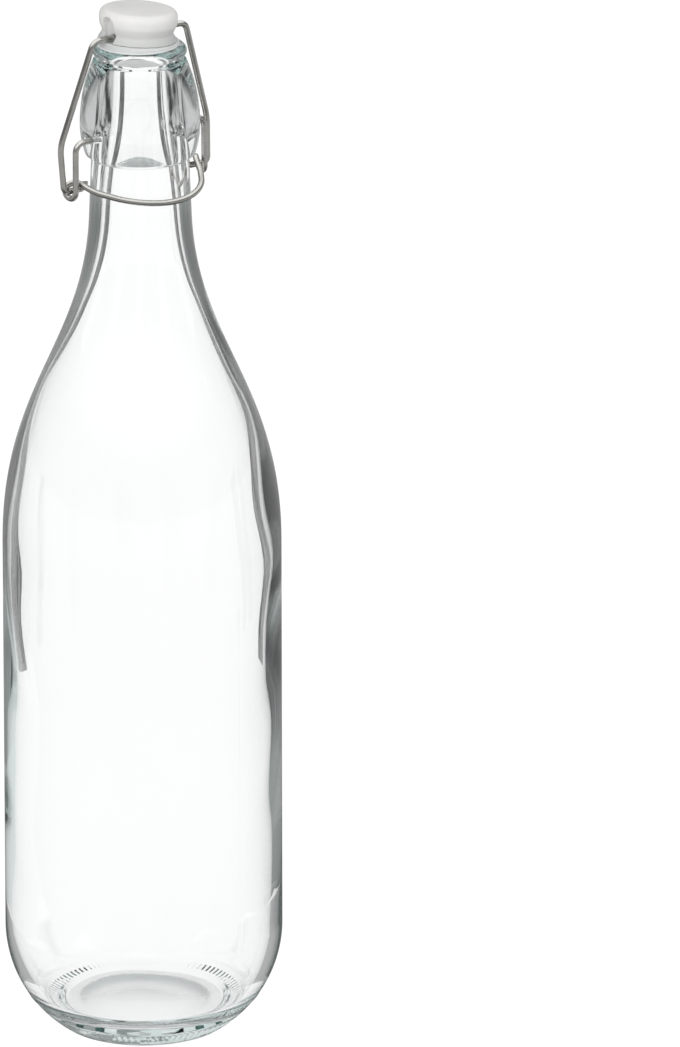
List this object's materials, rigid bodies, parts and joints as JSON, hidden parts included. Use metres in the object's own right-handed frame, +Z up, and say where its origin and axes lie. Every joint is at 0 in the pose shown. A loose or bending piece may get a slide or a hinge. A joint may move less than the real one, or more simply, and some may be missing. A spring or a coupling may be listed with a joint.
{
  "type": "swing top bottle",
  "caption": "Clear glass bottle with a long shoulder and a rounded heel, closed by a stopper that a hinged wire lever and bail press on its lip.",
  "frame": {"origin": "centre of the base, on the plane of the bearing ring", "axes": "+Z up along the bottle, X along the pivots of the lever, the thumb arc of the lever towards -Y"},
  "size_m": [0.086, 0.086, 0.3282],
  "materials": {
    "glass": "clear, smooth",
    "steel_wire": "bright drawn wire",
    "white_plastic": "satin moulded",
    "pale_rubber": "soft, slightly translucent"
  },
  "bodies": {
    "bottle": {"glass_bottle": "glass"},
    "lever": {"lever_wire": "steel_wire"},
    "bail": {"bail_wire": "steel_wire"},
    "stopper": {"stopper_head": "white_plastic", "gasket": "pale_rubber"}
  },
  "joints": [
    {"name": "lever_hinge", "type": "hinge", "parent": "bottle", "child": "lever", "pos_m": [0, 0, 0.2886], "axis": [-1, 0, 0], "range_deg": [0, 94]},
    {"name": "bail_hinge", "type": "hinge", "parent": "lever", "child": "bail", "pos_m": [0, 0.0022, 0.2731], "axis": [1, 0, 0], "range_deg": [0, 63]},
    {"name": "stopper_hinge", "type": "hinge", "parent": "bail", "child": "stopper", "pos_m": [0, 0, 0.3198], "axis": [1, 0, 0], "range_deg": [0, 31.04]}
  ],
  "couplings": [
    {"joint": "bail_hinge", "follows": "lever_hinge", "ratio": 0.67},
    {"joint": "stopper_hinge", "follows": "lever_hinge", "ratio": 0.33}
  ]
}
